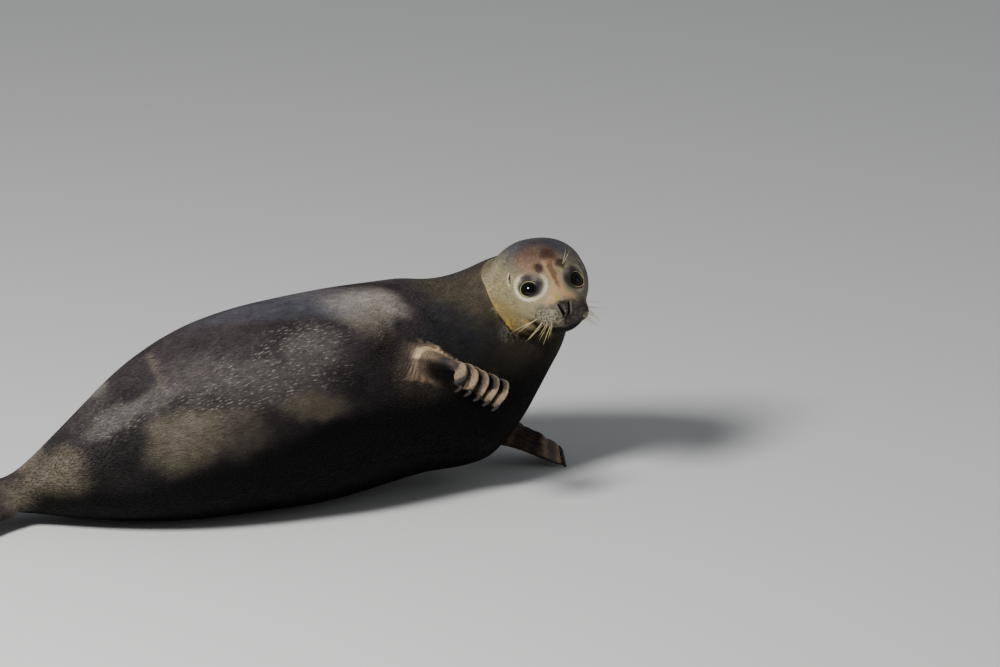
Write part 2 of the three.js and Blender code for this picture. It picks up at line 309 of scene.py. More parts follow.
def normals(mesh):
    flat = np.empty(len(mesh.vertices) * 3, np.float32)
    mesh.vertex_normals.foreach_get("vector", flat)
    return flat.reshape(-1, 3).astype(float)


def moved(mesh, points):
    mesh.vertices.foreach_set("co", points.ravel())
    mesh.update()


def local(points, place):
    """Points in a part's own frame, in millimetres."""
    back = np.array(place.inverted())
    return (points @ back[:3, :3].T + back[:3, 3]) / MM


def bell(points, centre, size):
    """1 at a centre, falling smoothly to 0 at a size, which may differ along x, y and z."""
    away = (((points - np.array(centre)) / np.array(size)) ** 2).sum(-1)
    return np.clip(1 - away, 0, 1) ** 2


def near_line(off, width):
    """1 on a line, falling off smoothly over a width to each side of it."""
    return np.exp(-((off / width) ** 2))


def wander(points, size, seed=0):
    """Smooth noise from -1 to 1 that varies over a size, in the units of the points.

    Each corner of a grid has a value, stirred up from its numbers by large primes.
    """
    place = points / size
    cell = np.floor(place).astype(np.int64)
    part = place - cell
    part = part * part * (3 - 2 * part)
    total = np.zeros(len(points))
    for corner in np.ndindex(2, 2, 2):
        x, y, z = (cell + corner).T
        key = (x * 73856093) ^ (y * 19349663) ^ (z * 83492791) ^ (seed * 7919)
        key = (key ^ (key >> 13)) * 1274126177
        key = (key ^ (key >> 16)) & 0xFFFFFF
        total += (key / 0xFFFFFF * 2 - 1) * np.where(corner, part, 1 - part).prod(1)
    return total


def drifting(points, size, seed):
    """Such noise three times over, one for each axis."""
    return np.stack([wander(points, size, seed + axis) for axis in range(3)], 1)


def on_blade(points, spec):
    """Places on a flipper: u from root to tips, v across, and the height off its middle in millimetres."""
    blade = spec["blade"]
    place = local(points, place_of(spec))
    stations = np.linspace(0, 1, 120)
    along, down, lean = middle_line(spec, stations)
    x, z = along * blade["length"], -down * blade["length"]
    near = ((place[:, :1] - x) ** 2 + (place[:, 2:] - z) ** 2).argmin(1)
    u = stations[near]
    v = place[:, 1] * spec["lead"] / through(blade["half"], u)
    height = (place[:, 0] - x[near]) * np.sin(lean[near]) + (place[:, 2] - z[near]) * np.cos(lean[near])
    return u, v, height


def on_flipper(points, spec, margin=7):
    """Which points lie on a flipper and not on the trunk by its root."""
    u, v, height = on_blade(points, spec)
    thick = through(spec["blade"]["thick"], u) + 14 * step(u, 0.4, 0.55)
    return (u > 0.02) & (np.abs(v) < 1.2) & (np.abs(height) < thick + margin)


def fold_ahead(places):
    """How far places on the head lie ahead of the fold behind the cheeks, in millimetres."""
    height, ahead, beside = np.array(NECK_FOLD, float).T
    beyond = np.maximum(np.abs(places[:, 1]) - np.interp(places[:, 2], height, beside), 0)
    return places[:, 0] - np.interp(places[:, 2], height, ahead) - 1.5 * beyond


def over_mouth(places):
    """How far places on the head lie over the mouth's line, in millimetres."""
    x, y, z = places.T
    return z - (MOUTH["height"] - MOUTH["slope"] * (x - MOUTH["corner"]))


def refined(piece, mask):
    """Halves the edges of the faces whose corners are all in the mask."""
    fine = bmesh.new()
    fine.from_mesh(piece.data)
    fine.verts.ensure_lookup_table()
    edges = [edge for edge in fine.edges if mask[edge.verts[0].index] and mask[edge.verts[1].index]]
    bmesh.ops.subdivide_edges(fine, edges=edges, cuts=1, use_grid_fill=True)
    fine.to_mesh(piece.data)
    fine.free()


def softened(piece, weights, iterations):
    """Smooths a piece where the weights are high."""
    soft = piece.vertex_groups.new(name="soft")
    for level in range(1, LEVELS + 1):
        chosen = np.nonzero(np.round(weights * LEVELS) == level)[0]
        soft.add(chosen.tolist(), level / LEVELS, "REPLACE")
    applied(piece, "SMOOTH", factor=0.7, iterations=iterations, vertex_group="soft")
    piece.vertex_groups.clear()


skin = joined([trunk, head, *blades], "skin")
applied(skin, "REMESH", mode="VOXEL", voxel_size=SKIN_GRAIN)
applied(skin, "SMOOTH", factor=0.5, iterations=6)

# Where the forms of the head and neck cross, flesh fills the crease.
on_head = local(coordinates(skin.data), head_place)
ahead = fold_ahead(on_head)
round_head = np.linalg.norm(on_head - np.array((-25, 0, -25)), axis=1)
crease = step(np.abs(ahead - 14), 48, 14) * step(round_head, 150, 115)
softened(skin, crease, 130)
root = np.zeros(len(crease))
for name in ("fore_right", "fore_left"):
    u, v, height = on_blade(coordinates(skin.data), FLIPPERS[name])
    beside = step(np.abs(v), 1.9, 1.1)
    root = np.maximum(root, step(u, 0.25, 0.1) * beside * step(np.abs(height), 80, 45))
softened(skin, root, 14)

points = coordinates(skin.data)
on_head = local(points, head_place)
face = (on_head[:, 0] > -60) & (on_head[:, 0] < 150) & (np.abs(on_head[:, 1:]) < 110).all(1)
refined(skin, face | on_flipper(points, FLIPPERS["fore_right"]))
applied(skin, "SMOOTH", factor=0.5, iterations=2)

skin_mesh = skin.data
points = coordinates(skin_mesh)
facing = normals(skin_mesh)
turned = np.array(head_turned)[:3, :3]
on_head = local(points, head_place)
in_head = step(np.linalg.norm(on_head - np.array((30, 0, -10)), axis=1), 145, 130)
push = np.zeros(len(points))  # mm outwards

# Whisker pads, the groove between them, the nose and the dip before each eye.
x, y, z = on_head.T
for side in (-1, 1):
    push += 4.2 * bell(on_head, (114, side * 25, -12), (26, 23, 18))
    push -= 2.2 * bell(on_head, (90, side * 44, 4), (24, 20, 16))
    wing = y * side - (15 + 0.25 * z)
    push -= 1.5 * near_line(wing, 2.2) * step(x, 98, 112) * step(np.abs(z - 2), 13, 6)
push += 2.6 * bell(on_head, (121, 0, 5), (18, 15, 12))
cleft = near_line(y + NOSTRIL[0], 2.2) * step(z, -2, -8) * step(z, -30, -24)
push -= 3.2 * step(x, 100, 116) * cleft
# The mouth's line runs back below the pads, and the lower lip sits inside the upper.
mouth = over_mouth(on_head)
behind_lips = step(x, MOUTH["corner"] - 6, MOUTH["corner"] + 10)
push -= 3.0 * behind_lips * near_line(mouth, 2.4)
push -= 3.4 * behind_lips * step(mouth, 0, -3) * step(mouth, -26, -6)
# Brows: a low mound above each eye, from which its few stiff hairs grow.
for side in (-1, 1):
    push += 1.6 * bell(on_head, (43, side * 22, 48), (14, 9, 14))
# The right cheek laps over the neck in a roll, with a wrinkled ridge behind the fold.
ahead = fold_ahead(on_head)
lower = (0.5 + 0.5 * step(z, 20, -10)) * step(z, -100, -86)
lower = lower * step(y, 10, -30)
push += 5.5 * step(ahead, -1, 4) * step(ahead, 65, 6) * lower
push -= 2.6 * near_line(ahead + 1.5, 2.6) * lower
ridge = near_line(ahead + 8, 3) * step(z, -30, -50) * lower
push += ridge * (1.2 + 1.2 * wander(on_head, 5, 3))
points = points + facing * (push * in_head)[:, None] * MM


def in_nostril(places, side, aside=0):
    """1 along the slit of a nostril, or along a line beside it, and 0 off it."""
    x, y, z = places.T
    lean = (y + NOSTRIL[0]) * side - (NOSTRIL[1] + NOSTRIL[2] * (z - 2)) - aside
    return near_line(lean, 2) * step(z, -7, -3) * step(z, 13, 9) * step(x, 102, 114)


def in_ear(places, side, wide=4.4, high=8):
    """1 within the slit of an ear, which leans forward downwards."""
    x, y, z = places.T
    upright = np.stack([x + 0.9 * (z - EAR[2]), y, z], 1)
    return bell(upright, (EAR[0], side * EAR[1], EAR[2]), (wide, 40, high))


# The nostrils: two slits that draw together downwards.
on_head = local(points, head_place)
for side in (-1, 1):
    points -= facing * (5.5 * in_nostril(on_head, side))[:, None] * MM
    points += facing * (1.2 * in_nostril(on_head, side, 3.6))[:, None] * MM

# The ears: a narrow slit each, in a shallow dent.
on_head = local(points, head_place)
for side in (-1, 1):
    into = turned @ np.array((0, side, 0))
    points -= into * (1.0 * in_ear(on_head, side, 7, 13) + 6 * in_ear(on_head, side))[:, None] * MM

# The lids: within the opening the skin goes behind the eyeball, and round it the skin is drawn out over
# the ball to a thick edge. A place round the eye is given by how many openings it lies out from the gaze.
OPENING_ANGLE = {name: np.arcsin(np.array(size) / EYEBALL) for name, size in OPENING.items()}
eye_axes = {}
for name, side in (("right", -1), ("left", 1)):
    gaze = GAZE[name].normalized()
    length = Vector((0.37, -0.93 * side, -0.02))
    length = (length - gaze * length.dot(gaze)).normalized()
    height = gaze.cross(length) * -side
    centre = (head_place.inverted() @ eye_centre[name]) / MM
    eye_axes[name] = [np.array(axis) for axis in (centre, length, height, gaze)]


def round_eye(places, name):
    """How many openings out from the gaze places on the head lie, the way there, and how far off."""
    centre, length, height, gaze = eye_axes[name]
    away = places - centre
    radius = np.linalg.norm(away, axis=1)
    ray = away / radius[:, None]
    angle = np.arccos(np.clip(ray @ gaze, -1, 1))
    swing = angle / np.maximum(np.sin(angle), 1e-6)
    half_length, half_height = OPENING_ANGLE[name]
    across, upright = ray @ length * swing / half_length, ray @ height * swing / half_height
    return np.hypot(across, upright), ray, radius


for name in eye_axes:
    ring, ray, radius = round_eye(local(points, head_place), name)
    edge = EYEBALL + 1.2 + 0.9 * step(ring, 1.0, 1.2)
    target = EYEBALL - 4 + (edge - EYEBALL + 4) * step(ring, 0.92, 1.0)
    own = step(ring, 1.15, 1.9)
    new_radius = np.where(ring < 1.9, target * (1 - own) + radius * own, radius)
    points += (ray * (new_radius - radius)[:, None] @ turned.T) * MM

# The lifted foreflipper: a wrinkled sleeve, and knuckles with folds between them.
for name, waves in (("fore_right", 1.0), ("fore_left", 0.5)):
    spec = FLIPPERS[name]
    u, v, height = on_blade(points, spec)
    over = np.abs(height) - through(spec["blade"]["thick"], u)
    on = step(over, 12, 3) * step(np.abs(v), 1.3, 1.02)
    length = spec["blade"]["length"]
    reach = u * length + 9 * wander(np.stack([u * 7, v * 1.6, height / 70], 1), 1, 5)
    sleeve = step(u, 0.06, 0.16) * step(u, 0.44, 0.34) * step(over, 5, 1)
    strength = 0.75 + 0.5 * wander(np.stack([u * 14, v * 3, height / 40], 1), 1, 9)
    push = 0.95 * waves * strength * np.sin(reach * 2 * pi / WRINKLE) * sleeve
    digit = ridge_of(v) ** 0.7
    back = step(height, -1, 4)
    for joint, size in ((0.6, 1.8), (0.78, 2.2), (0.9, 1.4)):
        push += size * near_line(u - joint, 0.035) * digit * back
        push -= 0.8 * size * near_line(u - joint - 0.055, 0.012) * digit * back
    points += facing * (push * on)[:, None] * MM

# The skin lies under the coat, by the coat's depth.
on_head = local(points, head_place)
depth = 1.4 - 0.7 * step(fold_ahead(on_head), -20, 10) * (np.linalg.norm(on_head, axis=1) < 160)
for spec in FLIPPERS.values():
    depth = np.where(on_flipper(points, spec), 0.4, depth)
points -= facing * depth[:, None] * MM
moved(skin_mesh, points)
applied(skin, "SMOOTH", factor=0.3, iterations=1)
applied(skin, "TRIANGULATE")
applied(skin, "DECIMATE", ratio=SKIN_LIMIT / len(skin.data.polygons))
alone(skin)
bpy.ops.object.shade_smooth()
skin.data.name = "skin"
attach(skin, "root")
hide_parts(*TRUNK_NODES, *HEAD_NODES[:2], *FLIPPER_NODES)

# ---- The markings ----
# A dark, brownish coat with soft pale patches along the flank, an olive-gold face with a red-brown crown,
# pale rings round the eyes, a grey muzzle, and bare dark folds on the flippers. Light and shade are
# painted in too: painted shade turns the belly and lower flank black and darkens the throat, the jaw's
# underside, the face's far side and the creases, slits and folds; painted highlights glint along the
# flank, the cheeks and the lifted foreflipper, and a painted bluish reflection lies along the back. Skin
# and coat are coloured by the same rule, so they carry the same markings.


def tone(red, green, blue):
    """A colour as seen on a screen, from 0 to 255, turned into light."""
    seen = np.array([red, green, blue]) / 255
    return np.where(seen <= 0.04045, seen / 12.92, ((seen + 0.055) / 1.055) ** 2.4)


CHARCOAL = tone(62, 55, 56)
TAUPE = tone(128, 117, 100)
ASH = tone(106, 98, 95)
PALE = tone(162, 152, 142)
BLACK = tone(10, 9, 9)
NECK = tone(84, 76, 58)
OLIVE = tone(150, 140, 108)
GOLD = tone(214, 176, 74)
RUST = tone(140, 110, 84)
ORANGE = tone(190, 150, 112)
UMBER = tone(54, 36, 32)
CREAM = tone(226, 218, 186)
SLATE = tone(66, 66, 72)
MUZZLE = tone(150, 142, 120)
INK = tone(24, 20, 22)
TAN = tone(172, 148, 118)
HIDE = tone(70, 58, 50)
# a painted bluish reflection for the top of the back
PAINTED_REFLECTION = tone(94, 98, 108)
# Soft patches on the trunk: middle and half-sizes in millimetres, how far they turn about Y, and the tone.
PATCHES = [
    ((218, -30, 372), (78, 80, 44), 0, PALE, 0.85),
    ((205, -80, 345), (55, 46, 38), 0, TAUPE, 0.5),
    ((-30, -130, 285), (170, 75, 42), -16, ASH, 0.6),
    ((82, -110, 318), (52, 60, 60), 0, ASH, 0.7),
    # painted highlights: a pale streak where the flank glistens
    ((-272, -20, 210), (62, 44, 15), 29, PALE, 0.32),
    ((-200, -50, 245), (56, 44, 15), 22, PALE, 0.24),
    ((236, 52, 380), (54, 46, 40), 0, CHARCOAL * 0.8, 0.55),
    ((146, 44, 385), (64, 40, 40), 0, ASH, 0.5),
    ((-180, -130, 188), (74, 70, 62), -8, TAUPE, 1.0),
    ((-105, -150, 208), (84, 60, 48), -10, TAUPE, 0.45),
    ((66, -166, 231), (66, 60, 24), -6, TAUPE, 0.9),
    ((-372, -5, 105), (62, 75, 66), -30, TAUPE, 0.9),
    ((-405, 35, 62), (60, 60, 46), -30, TAUPE, 0.7),
    ((-310, 30, 225), (66, 60, 60), -40, ASH, 0.25),
    ((64, -43, 364), (70, 52, 34), 0, CHARCOAL * 0.5, 0.6),
    ((-268, -69, 168), (46, 44, 40), -30, CHARCOAL * 0.4, 0.7),
    ((-140, -60, 300), (60, 70, 60), -25, ASH, 0.45),
    ((280, -150, 268), (48, 50, 88), 0, TAUPE, 0.5),
    ((320, -150, 215), (90, 60, 50), 0, HIDE, 0.55),
    # the far flank
    ((180, 185, 268), (120, 80, 54), 14, TAUPE, 0.9),
    ((80, 200, 205), (60, 60, 36), -10, TAUPE, 0.6),
    ((-120, 190, 236), (110, 70, 40), -22, TAUPE, 0.7),
    ((-30, 150, 326), (120, 60, 34), -14, ASH, 0.7),
    ((-235, 150, 165), (70, 60, 66), -36, TAUPE, 0.9),
    ((-255, 110, 240), (56, 60, 30), -40, PALE, 0.5),
    ((310, 120, 300), (60, 70, 80), 30, ASH, 0.6),
    ((-365, 110, 108), (50, 60, 40), -30, TAUPE, 0.7),
]
# Where painted highlights glint on single tufts along the flank: middle and half-sizes in millimetres.
GLINTS = [
    ((-20, -115, 296), (190, 90, 52)),
    ((80, -105, 322), (70, 80, 70)),
    ((-268, -30, 210), (56, 60, 36)),
    ((-262, -24, 215), (80, 60, 24)),
    ((-150, -70, 262), (90, 60, 24)),
]
GLINT_TURN = 18  # degrees that those places rise towards the head
# The upper edge of the painted shade on the underside: places along the trunk and its height there,
# in millimetres.
UNDERSIDE = dict(along=[-440, -300, -180, -60, 60, 200, 330], height=[20, 70, 110, 150, 196, 214, 205])


def painted(colour, mask, over):
    """Lays a tone over a colour where the mask is 1."""
    return colour + (over - colour) * np.clip(mask * np.ones(len(colour)), 0, 1)[:, None]


class Paint:
    """Tones at some points, laid one over another."""

    def __init__(self, tones):
        self.tones = tones

    def lay(self, mask, over):
        self.tones = painted(self.tones, mask, over)


def softly(points, centre, size, turn=0):
    """1 within a soft-edged patch, which may turn about Y, and 0 outside it."""
    away = points - np.array(centre)
    c, s = cos(radians(turn)), sin(radians(turn))
    x, z = away[:, 0] * c + away[:, 2] * s, away[:, 2] * c - away[:, 0] * s
    out = np.sqrt((x / size[0]) ** 2 + (away[:, 1] / size[1]) ** 2 + (z / size[2]) ** 2)
    return step(out, 1.3, 0.55)


def head_tones(places, colour):
    """Paints the head over the body's colour, from places in the head's frame."""
    x, y, z = places.T
    across = np.abs(y)
    blur = places + 3.5 * drifting(places, 9, 11)
    ahead = fold_ahead(blur)
    near = step(y, 10, -30)
    on = near * step(ahead, -6, 2) + (1 - near) * step(ahead, -70, 25)
    on = on * step(np.linalg.norm(places - np.array((10, 0, -15)), axis=1), 150, 125)
    face = Paint(np.tile(OLIVE, (len(places), 1)))
    face.lay(step(z, 26, 64) * step(x, 60, 10), SLATE * 1.4)
    face.lay(0.7 * step(x, -20, -60), NECK)
    face.lay(0.75 * softly(blur, (28, -20, 60), (44, 48, 30)), RUST)
    face.lay(0.72 * softly(blur, (22, 6, 66), (20, 17, 20)), UMBER)
    face.lay(0.4 * softly(blur, (0, 0, 72), (40, 60, 22)), UMBER)
    # the cheek's gold, with painted highlights in streaks along the fold; darker low down, and
    # painted shade on the far side of the head
    face.lay(0.4 * step(z, 10, -30) * step(x, 80, 30), GOLD * 0.55)
    face.lay(0.35 * step(z, -35, -70), UMBER)
    face.lay(0.55 * step(y, 26, 52), SLATE)
    streaky = wander(places * np.array((1, 1, 0.35)), 5, 21)
    streak = step(streaky, 0.1, 0.5)
    face.lay(0.8 * streak * softly(places, (4, -85, -8), (26, 30, 26)), GOLD)
    face.lay(0.7 * streak * softly(places, (24, -66, -58), (22, 30, 20)), GOLD)
    # the red-brown streak down the bridge, dark in its middle, spreading over the muzzle's top
    bridge = across - np.interp(x, [40, 70, 88, 100, 112], [8, 7, 15, 30, 22])
    face.lay(0.9 * step(bridge, 6, -3) * step(x, 26, 42) * step(x, 118, 106) * step(z, 0, 12), ORANGE)
    core = np.abs(y - 1 - 0.06 * (x - 50) + 3 * wander(places, 7, 17))
    core = core - np.interp(x, [36, 60, 84], [5, 3, 1])
    face.lay(0.7 * step(core, 5, -1) * step(x, 26, 44) * step(x, 92, 70), UMBER)
    # each eye: a whitish ring, a grey patch above and inside it, dark lids, a dark spot on the brow
    for name, side in (("right", -1), ("left", 1)):
        ring, ray, radius = round_eye(places, name)
        field = (radius < 62) & (ring < 4)
        centre, length, height, gaze = eye_axes[name]
        away = places - centre - gaze * EYEBALL
        upright, inward = away @ height, away @ length
        pale = np.hypot((inward - 4) / 29, (upright - 6) / 27)
        band = step(pale, 0.8, 0.94) * step(pale, 1.16, 1.0)
        strength = (0.95 if side < 0 else 0.45) - 0.3 * step(inward, 8, 22) - 0.15 * streak
        face.lay(field * band * strength * step(upright, 34, 12), CREAM)
        face.lay(0.8 * field * step(pale, 0.9, 0.7), ASH * 0.9)
        face.lay(1.6 * field * bell(away, height * 17 - length * 3, (17, 17, 12)), CHARCOAL)
        face.lay(1.9 * field * bell(away, height * 8 + length * 19, (15, 15, 14)), CHARCOAL * 0.6)
        face.lay(0.85 * field * step(ring, 1.7, 1.4), SLATE * 0.5)
        face.lay(field * step(ring, 1.38, 1.24), INK * 0.4)
        face.lay(0.85 * softly(blur, (43, side * 22, 48), (12, 9.5, 12)), INK * 1.4)
        if side < 0:
            face.lay(0.5 * softly(places, (47, side * 21, 46), (4, 3, 4)), ASH)
    # the muzzle: grey pads with dark nose between, painted shade on the far side and in the nostrils,
    # darker below
    pads = step(x + 0.25 * z, 84, 100) * step(z - 0.1 * x + 0.25 * np.clip(across, 0, 40), 11, 0)
    face.lay(0.9 * pads, MUZZLE)
    speck = step(wander(places, 2.6, 31), -0.22, 0.3)
    face.lay(0.7 * pads * speck, INK * 1.6)
    face.lay(0.45 * pads * softly(places, (112, -14, 4), (16, 14, 16)), INK * 2)
    face.lay(0.5 * pads * step(z, -12, -26), INK * 2)
    face.lay(0.78 * pads * step(y, -3, 12), INK * 2)
    face.lay(0.7 * softly(places, (130, 0, -16), (14, 9, 13)), INK * 2)
    nose = np.hypot((y + NOSTRIL[0]) / 14, (z - 3) / 15)
    face.lay(0.9 * step(nose, 1.2, 0.7) * step(x, 104, 112), INK * 1.6)
    septum = near_line(y + NOSTRIL[0] + 1.5, 1.3) * step(z, -14, -2) * step(z, 13, 8) * step(x, 106, 114)
    face.lay(0.45 * septum * step(wander(places, 3, 23), -0.6, 0.2), MUZZLE)
    for side in (-1, 1):
        face.lay(0.3 * in_nostril(places, side, 4.5), MUZZLE)
        # painted shade inside each nostril's slit
        face.lay(2 * in_nostril(places, side), BLACK * 0.2)
    face.lay(0.6 * softly(places, (99, -7, 15), (8, 6, 8)), tone(150, 152, 60))
    # painted shade: below the mouth and under the jaw all is dark, but for a painted gold highlight at
    # the mouth's corner
    face.lay(0.95 * step(over_mouth(places), 3, -5) * step(x, 68, 90), BLACK)
    face.lay(0.75 * step(streaky, -0.3, 0.3) * softly(places, (70, -50, -41), (13, 24, 9)), GOLD)
    face.lay(0.9 * step(z, -66, -88) * step(x, 10, 34), BLACK)
    face.lay(0.9 * step(z, -50, -65) * step(x + 0.3 * y, 26, 50), BLACK)
    # the near fold's pale edge, the ears with painted shade in their slits, and painted shade along the
    # fold's crease
    pale = near * step(ahead, 0, 2) * step(ahead, 7, 3) * step(z, -30, -8)
    face.lay(0.6 * pale * step(wander(places, 4, 19), -0.5, 0.2), CREAM)
    for side in (-1, 1):
        face.lay(0.5 * step(in_ear(places, side, 6, 14), 0.05, 0.4), CREAM)
        face.lay(step(in_ear(places, side), 0.0, 0.1), BLACK * 0.2)
    face.lay(0.9 * near * near_line(ahead + 1, 2.5), BLACK)
    return painted(colour, on, face.tones)


def flipper_tones(points, colour):
    """Paints the flippers: tan ridges on the digits between dark, blue-grey folds and knuckles, with
    painted shade and highlights laid on the lifted one.
    """
    for name, spec in FLIPPERS.items():
        near = on_flipper(points, spec)
        if not near.any():
            continue
        u, v, height = on_blade(points[near], spec)
        digit = ridge_of(v)
        mottle = wander(points[near] / MM, 9, 41)
        hand = Paint(np.tile(HIDE, (near.sum(), 1)))
        mask = step(u, 0.1, 0.4)
        if name == "fore_right":
            # painted highlights along the sleeve's wrinkles, bright on its top and dimmer below
            wrinkle = step(wander(np.stack([u * 38, v * 2, height / 50], 1), 1, 5), -0.2, 0.5)
            lit = (0.25 + 0.75 * wrinkle) * step(u, 0.44, 0.34)
            hand.lay(lit * step(height, -4, 6), TAN * 1.6)
            hand.lay(0.4 * lit * step(height, 0, -8), TAN * 0.8)
            hand.lay(0.75 * step(u, 0.36, 0.46) * step(u, 0.58, 0.52), SLATE * 0.8)
            hand.lay(0.8 * step(u, 0.46, 0.58) * step(u, 1.0, 0.9), TAN)
            # painted shade in the folds between the digits and in the hollow under the sleeve
            between = step(digit, 0.95, 0.6) * step(u + 0.02 * mottle, 0.48, 0.56)
            hand.lay(0.9 * (between * step(u, 0.92, 0.8)), SLATE * 0.45)
            hand.lay(0.9 * step(u, 0.5, 0.62) * step(digit, 0.4, 0.12), BLACK)
            hand.lay(0.9 * step(height, 5, -7) * step(u, 0.26, 0.34) * step(u, 0.6, 0.48), BLACK)
        elif name == "fore_left":
            hand.lay(0.5, BLACK * 1.5)
            wrinkle = step(np.sin(u * 46 + 2.4 * v + 1.4 * mottle), 0.3, 0.95)
            hand.lay(0.3 * wrinkle * step(u, 0.75, 0.55), TAN * 0.6)
            hand.lay(0.8 * step(u + 0.02 * mottle, 0.75, 0.84) * step(height, -3, 2), TAN)
            hand.lay(0.7 * step(np.abs(u + 0.01 * mottle - 0.875), 0.05, 0.015), SLATE)
        else:
            hand.lay(0.6 * step(mottle, -0.2, 0.5), TAUPE * 0.6)
            hand.lay(0.6 * step(digit, 0.35, 0.1) * step(u, 0.45, 0.6), BLACK)
        if name.startswith("fore"):
            over = np.abs(height) - through(spec["blade"]["thick"], u)
            over = over + 5 * mottle - 16 * step(u, 0.4, 0.55)
            mask = step(u, 0.08, 0.22) * step(over, 7, 0)
        if name == "fore_right":
            mask = mask * step(points[near, 2] / MM + 4 * mottle, 318, 303)
        edge = 1.09 + 0.1 * step(u, 0.3, 0.45)
        colour[near] = painted(colour[near], mask * step(np.abs(v), edge, edge - 0.08), hand.tones)
    return colour


def coat_tones(points, facing):
    """The colour of the coat, or of the skin under it, at points on the animal, with painted light and shade.
    """
    places = points / MM
    x, y, z = places.T
    drift, ragged = drifting(places, 38, 1), drifting(places, 11, 4)
    blur = places + 12 * drift + 5 * ragged
    coat = Paint(np.tile(CHARCOAL, (len(points), 1)))
    coat.lay(0.35 * step(drift[:, 0], 0, 0.7), BLACK * 2)
    for centre, size, turn, over, strength in PATCHES:
        coat.lay(strength * softly(blur, centre, size, turn), over)
    # a pale crease across the back, and the neck's olive above a dark shoulder and a throat darkened by
    # painted shade
    crease = near_line(x + 172 + 0.05 * (y + 20) - 8 * np.sin(y / 60), 5)
    coat.lay(0.55 * (crease * step(y, -95, -70) * step(y, 70, 40) * step(z, 250, 275)), TAUPE)
    coat.lay(0.75 * (step(blur[:, 0], 330, 400) * step(facing[:, 1], 0.6, -0.2)), NECK)
    dark = softly(blur, (360, -60, 318), (52, 60, 55)) + softly(blur, (420, -85, 285), (44, 40, 50))
    coat.lay(0.75 * dark, SLATE * 0.55)
    coat.lay(0.9 * (step(blur[:, 2], 300, 190) * step(blur[:, 0], 300, 420)), BLACK)
    on_head = local(points, head_place)
    pale = softly(on_head, (25, -73, -80), (9, 20, 24)) * step(wander(on_head, 2.6, 8), -0.2, 0.3)
    coat.lay(0.5 * pale * step(fold_ahead(on_head), -3, -6), PALE)
    # painted shade: the belly and lower flank turn black, higher up towards the chest
    line = np.interp(x, UNDERSIDE["along"], UNDERSIDE["height"])
    under = step(blur[:, 2] - line, 26, -22) * step(y, 260, 120)
    coat.lay(0.97 * np.maximum(under, step(z, 110, 60)) * step(x, -430, -380), BLACK)
    # painted shade darkens the flank downwards, less on the far side and at the tail, and a painted
    # bluish reflection lies along the top of the back
    painted_shade = np.interp(z - line, [-10, 20, 60, 110, 190], [0.12, 0.22, 0.34, 0.52, 1.0])
    painted_shade = painted_shade + (1 - painted_shade) * np.maximum(step(x, -300, -400) * 0.45, step(y, 30, 110))
    grain = 1 + 0.2 * wander(places, 8, 14) + 0.2 * wander(places, 3, 15)
    coat.tones = coat.tones * (painted_shade * grain)[:, None]
    rim = step(facing[:, 2], 0.9, 0.99) * step(x, 260, 120) * step(x, -330, -230)
    coat.lay(rim * (0.35 + 0.2 * ragged[:, 0]), PAINTED_REFLECTION)
    return np.clip(flipper_tones(points, head_tones(on_head, coat.tones)), 0, 1)


def glinting(points):
    """How far points lie in the flank's glistening band of painted highlights."""
    places = points / MM
    blur = places + 16 * drifting(places, 30, 51)
    return np.clip(sum(softly(blur, centre, size, GLINT_TURN) for centre, size in GLINTS), 0, 1)


def coloured(mesh, colours):
    """Gives each point of a mesh its tone."""
    attribute = mesh.color_attributes.new("tone", "FLOAT_COLOR", "POINT")
    flat = np.concatenate([colours, np.ones((len(colours), 1))], 1).astype(np.float32)
    attribute.data.foreach_set("color", flat.ravel())


class Socket:
    """A shader socket whose arithmetic makes Math nodes."""

    def __init__(self, tree, out):
        self.tree, self.out = tree, out

    def node(self, kind, inputs, output=0, **settings):
        """Any other node in the same tree: its inputs by name or number, and its settings."""
        made = self.tree.nodes.new(kind)
        for key, value in settings.items():
            setattr(made, key, value)
        for key, value in inputs.items():
            if isinstance(value, Socket):
                self.tree.links.new(value.out, made.inputs[key])
            else:
                made.inputs[key].default_value = value
        return Socket(self.tree, made.outputs[output])

    def math(self, operation, *values):
        return self.node("ShaderNodeMath", dict(enumerate(values)), operation=operation)

    def __add__(self, other):
        return self.math("ADD", self, other)

    def __sub__(self, other):
        return self.math("SUBTRACT", self, other)

    def __mul__(self, other):
        return self.math("MULTIPLY", self, other)

    def __rsub__(self, other):
        return self.math("SUBTRACT", other, self)

    __radd__ = __add__
    __rmul__ = __mul__

    def into(self, name):
        self.tree.links.new(self.out, self.tree.nodes["Principled BSDF"].inputs[name])


def material(name, colour=(0.5, 0.5, 0.5), roughness=0.5, **inputs):
    """A new material, and the Object coordinates in its tree."""
    made = bpy.data.materials.new(name)
    made.use_nodes = True
    surface = made.node_tree.nodes["Principled BSDF"]
    surface.inputs["Base Color"].default_value = (*colour, 1)
    surface.inputs["Roughness"].default_value = roughness
    for key, value in inputs.items():
        surface.inputs[key.replace("_", " ")].default_value = value
    place = made.node_tree.nodes.new("ShaderNodeTexCoord").outputs["Object"]
    return made, Socket(made.node_tree, place)


def blended(share, one, other):
    """Lays a blend of two tones into the base colour, by a share from 0 to 1."""
    tones = {0: share, 6: (*one, 1), 7: (*other, 1)}
    share.node("ShaderNodeMix", tones, output=2, data_type="RGBA").into("Base Color")


